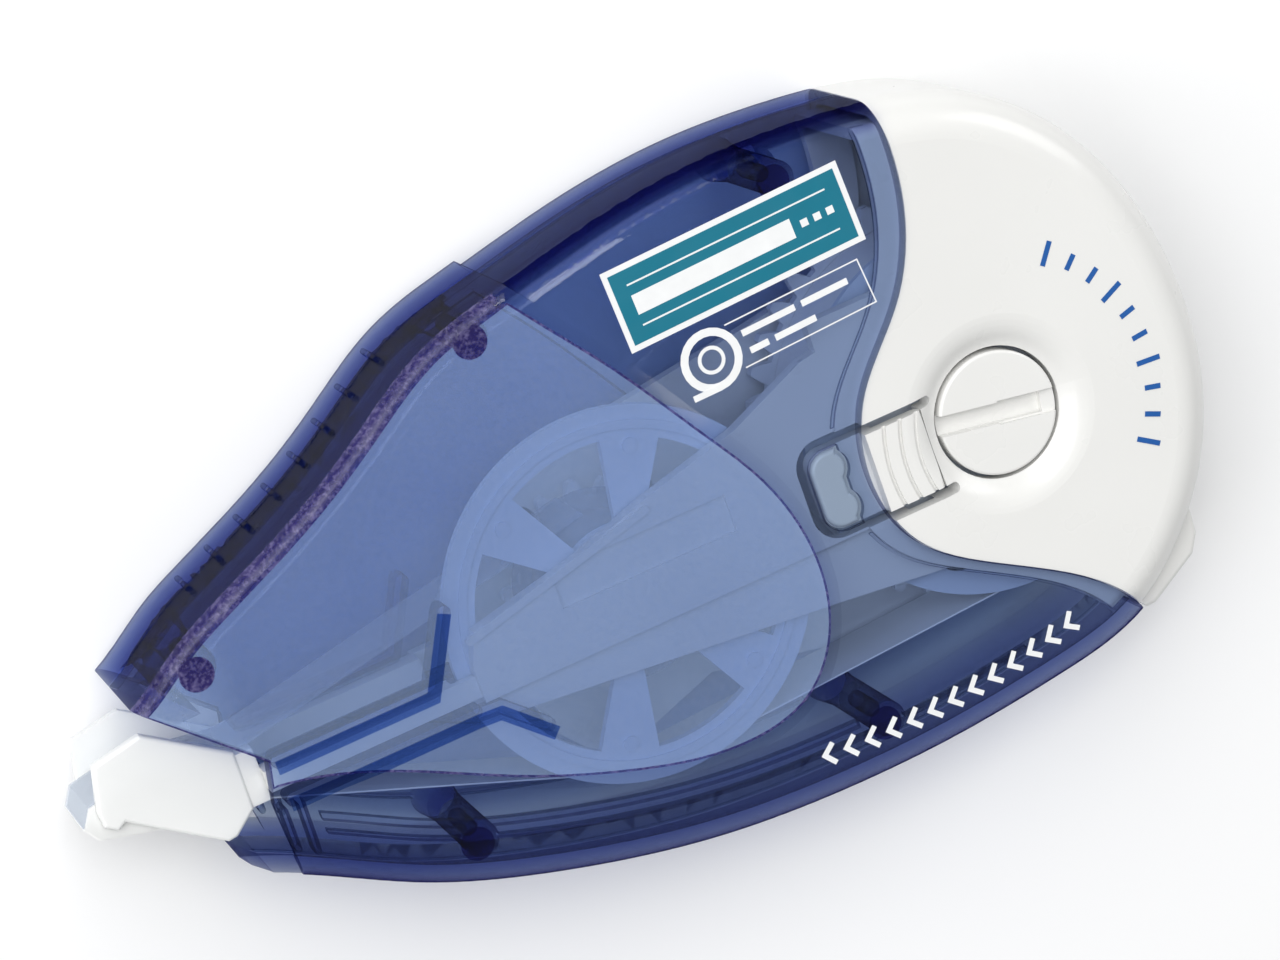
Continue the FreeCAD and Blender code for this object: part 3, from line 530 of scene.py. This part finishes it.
# ---- printed marks: plain shapes, no lettering -----------------------------------------------------------
LABEL_CENTRE = Vector((15.7, 21.6)) * MM
LABEL_SIZE = Vector((24.3, 7.9)) * MM
LABEL_TURN = math.radians(2.6)
LABEL_BORDER = 0.55 * MM


def on_label(u, v):
    """A point of the label, from shares of its half length and half height."""
    offset = Vector((u * LABEL_SIZE.x / 2, v * LABEL_SIZE.y / 2))
    offset.rotate(Matrix.Rotation(LABEL_TURN, 2))
    return LABEL_CENTRE + offset


def label(white, field):
    """A white plate with a coloured field, and on it a strip of tape laid on two ruled lines."""
    plate = [((on_label(-1, 0), on_label(1, 0)), LABEL_SIZE.y, False)]
    printed("label_plate", "housing_near_shell", "housing", white, plate)
    inside = 1 - 2 * LABEL_BORDER / LABEL_SIZE.x
    band = [((on_label(-inside, 0), on_label(inside, 0)), LABEL_SIZE.y - 2 * LABEL_BORDER, False)]
    printed("label_field", "housing_near_shell", "housing", field, band, layer=1)
    rules = [((on_label(-0.84, v), on_label(0.84, v)), 0.16 * MM, False) for v in (0.5, -0.5)]
    tape = [((on_label(-0.84, 0), on_label(0.5, 0)), 1.9 * MM, False)]
    dots = [((on_label(u - 0.03, 0), on_label(u + 0.03, 0)), 0.7 * MM, False) for u in (0.6, 0.71, 0.82)]
    marks = rules + tape + dots
    printed("label_marks", "housing_near_shell", "housing", white, marks, layer=2)


ICON_CENTRE = Vector((10.5, 13.6)) * MM


def roll_icon(white):
    """A roll of tape with its free end."""
    rings = [(arc(ICON_CENTRE, r * MM, 0, 360)[:-1], w * MM, True) for r, w in ((2.6, 0.75), (1.15, 0.35))]
    ends = [ICON_CENTRE + Vector(p) * MM for p in ((0, -2.68), (-2.8, -2.75))]
    tail = [(ends, 0.6 * MM, False)]
    printed("roll_icon", "housing_near_shell", "housing", white, rings)
    printed("roll_icon_tail", "housing_near_shell", "housing", white, tail, layer=1)


BOX_TOP = Vector((12.7, 16.1)) * MM, Vector((26.55, 16.8)) * MM
BOX_BOTTOM = Vector((13.3, 11.65)) * MM, Vector((27.0, 12.4)) * MM


def note_box(white):
    """A thin frame, open towards the icon, with two rows of plain bars in it."""
    frame_lines = [((BOX_TOP[0], BOX_TOP[1], BOX_BOTTOM[1], BOX_BOTTOM[0]), 0.13 * MM, False)]
    bars = []
    for down, spans in ((0.32, ((0.08, 0.48), (0.53, 0.88))), (0.72, ((0.08, 0.22), (0.27, 0.58)))):
        left, right = (BOX_TOP[i].lerp(BOX_BOTTOM[i], down) for i in (0, 1))
        bars += [((left.lerp(right, a), left.lerp(right, b)), 0.62 * MM, False) for a, b in spans]
    printed("note_box", "housing_near_shell", "housing", white, frame_lines + bars)


BELLY_ROW = [Vector(p) * MM for p in ((7.35, -25.6), (22.2, -25.9), (35.85, -23.7))]
BELLY_MARKS = 13
CHEVRON_HALF, CHEVRON_LEAN, CHEVRON_WIDTH = 1.0 * MM, 0.5 * MM, 0.5 * MM


def belly_row(white):
    """Chevrons along the belly, pointing to the tip."""
    centre = circle_through(*BELLY_ROW)
    radius = (BELLY_ROW[0] - centre).length
    start, end = (math.atan2(p.y - centre.y, p.x - centre.x) for p in (BELLY_ROW[0], BELLY_ROW[2]))
    marks = []
    for i in range(BELLY_MARKS):
        angle = start + (end - start) * (i + 0.5) / BELLY_MARKS
        out = Vector((math.cos(angle), math.sin(angle)))
        along = Vector((-out.y, out.x))
        middle = centre + out * radius
        tail = middle + along * CHEVRON_LEAN
        corners = (tail + out * CHEVRON_HALF, middle - along * CHEVRON_LEAN, tail - out * CHEVRON_HALF)
        marks.append((corners, CHEVRON_WIDTH, False))
    printed("belly_row", "housing_near_shell", "housing", white, marks)


SCALE_RADIUS = 15.4 * MM
SCALE_FROM, SCALE_TO = 54, -33              # degrees about the knob
SCALE_MARKS = 10
SCALE_WIDTH = 0.5 * MM
LONG_HALF, SHORT_HALF = 1.2 * MM, 0.8 * MM


def winding_scale(blue):
    """Ten bars on an arc about the knob, with every third one longer."""
    middle = Vector((KNOB.x, KNOB.y))
    marks = []
    for i in range(SCALE_MARKS):
        angle = math.radians(SCALE_FROM + (SCALE_TO - SCALE_FROM) * i / (SCALE_MARKS - 1))
        out = Vector((math.cos(angle), math.sin(angle)))
        half = LONG_HALF if i % 3 == 0 else SHORT_HALF
        ends = [middle + out * (SCALE_RADIUS + side * half) for side in (-1, 1)]
        marks.append((ends, SCALE_WIDTH, False))
    printed("winding_scale", "refill_near_frame", "cassette", blue, marks)


def printed_marks():
    white = ink("white_ink", (0.86, 0.87, 0.87))
    blue = ink("blue_ink", (0.012, 0.10, 0.36))
    teal = ink("label_ink", (0.004, 0.17, 0.25))
    label(white, teal)
    roll_icon(white)
    note_box(white)
    belly_row(white)
    winding_scale(blue)


# ---- painted shade at the roots of posts and rails -------------------------------------------------------
ROOT_LEVEL = PAD_TOP - 1.4 * MM             # inside the near wall
PAD_POSTS = [Vector(p) * MM for p in ((-9.9, 24.2), (-43.3, 6.4))]
CLEAR_POSTS = [Vector(p) * MM for p in ((21.75, 26.3), (-25.25, -19.5), (14.75, -25.6))]
POST_RADIUS = 1.6 * MM
UPPER_RAIL = [Vector(p) * MM for p in ((-39.8, -4.6), (-24.4, -4.6), (-20.8, 2.2))]
LOWER_RAIL = [Vector(p) * MM for p in ((-39.8, -8.4), (-21.3, -8.4), (-19.1, -8.55), (-15.0, -12.5))]
RAIL_WIDTH = 1.3 * MM


def disc(centre):
    """Stroke that fills the round end of a post."""
    return arc(centre, POST_RADIUS / 2, 0, 360)[:-1], POST_RADIUS, True


def post_roots(material):
    """Thin tinted discs of painted shade inside the clear wall, over the roots of the snap posts."""
    shape = bmesh.new()
    for post in CLEAR_POSTS:
        stroke(shape, *disc(post))
    for vertex in shape.verts:
        vertex.co.z = ROOT_LEVEL
    add_piece("clear_post_roots", shape, "housing", material)


RIM_FROM, RIM_TO = 0.6 * MM, 3.3 * MM       # how far below the outermost level the shell's rounded rim lies
RIM_PATCH = 400                             # faces in the smallest patch of rim that gets the tint
RIM_FLAT = 0.90                             # from this Z of its normal on, a face is no longer rim
WELD = 0.0005 * MM


def keep_large_patches(shape, smallest):
    """Deletes the connected patches that have fewer faces than the smallest to be kept."""
    left = set(shape.faces)
    small = []
    while left:
        patch, reached = [], [left.pop()]
        while reached:
            face = reached.pop()
            patch.append(face)
            for near in {n for edge in face.edges for n in edge.link_faces} & left:
                left.discard(near)
                reached.append(near)
        if len(patch) < smallest:
            small += patch
    bmesh.ops.delete(shape, geom=small, context="FACES")


def painted_rim_shade(name, node, outward, material):
    """A tinted skin of painted shade on the rounded rim of a half, which looks into the depth of its side
    wall.
    """
    shape = shape_of(node)
    bmesh.ops.remove_doubles(shape, verts=shape.verts, dist=WELD)
    bmesh.ops.recalc_face_normals(shape, faces=shape.faces)
    off = []
    for face in shape.faces:
        below = depths(face, outward)
        tilted = FACING_OUT < outward * face.normal.z < RIM_FLAT
        if not (tilted and min(below) > RIM_FROM and max(below) < RIM_TO):
            off.append(face)
    bmesh.ops.delete(shape, geom=off, context="FACES")
    keep_large_patches(shape, RIM_PATCH)
    lift(shape, SKIN_LIFT / 2)
    add_piece(name, shape, "housing", material).data.shade_smooth()


def paint_root_shades(edge_shade):
    """Painted shade: the etched pad shows the posts and rails that stand right behind it as dark shapes,
    painted here as tinted discs and strips.
    """
    violet = painted_depth_shade("painted_post_shade", (0.20, 0.17, 0.50), (0.26, 0.24, 0.58))
    blue = painted_depth_shade("painted_rail_shade", (0.60, 0.70, 0.87), (0.65, 0.74, 0.90))
    post_roots(violet)
    painted_rim_shade("near_rim_painted_shade", "housing_near_shell", 1, rim_shade_material())
    printed("pad_post_roots", "housing_near_shell", "housing", edge_shade,
            [disc(post) for post in PAD_POSTS], layer=1)
    printed("rail_roots", "housing_near_shell", "housing", blue,
            [(rail, RAIL_WIDTH, False) for rail in (UPPER_RAIL, LOWER_RAIL)], layer=1)


# ---- the making ------------------------------------------------------------------------------------------
SHARP_ANGLE = math.radians(32)
CLEAR_LAYERS = 48                           # clear surfaces that a ray may cross

make_camera()
make_studio()
dress_cad()
etched = frost()
frost_pad("near_pad_frost", "housing_near_shell", 1, etched)
frost_pad("far_pad_frost", "housing_far_shell", -1, etched)
# painted shade: dark lines, rims, discs and strips round the pads and over the posts and rails behind them
edge_shade = painted_edge_shade()
pad_shade_line("near_pad_line", "housing_near_shell", 1, edge_shade)
pad_shade_line("far_pad_line", "housing_far_shell", -1, edge_shade)
pad_rim_shade("near_pad_rim", "housing_near_shell", 1, NEAR_PAD_RIM, edge_shade)
pad_rim_shade("far_pad_rim", "housing_far_shell", -1, FAR_PAD_RIM, edge_shade)
paint_root_shades(edge_shade)
printed_marks()
for obj in NODES.values():
    obj.data.shade_smooth()
    obj.data.set_sharp_from_angle(angle=SHARP_ANGLE)

scene = bpy.context.scene
scene.view_settings.view_transform = "Standard"
scene.cycles.transparent_max_bounces = CLEAR_LAYERS
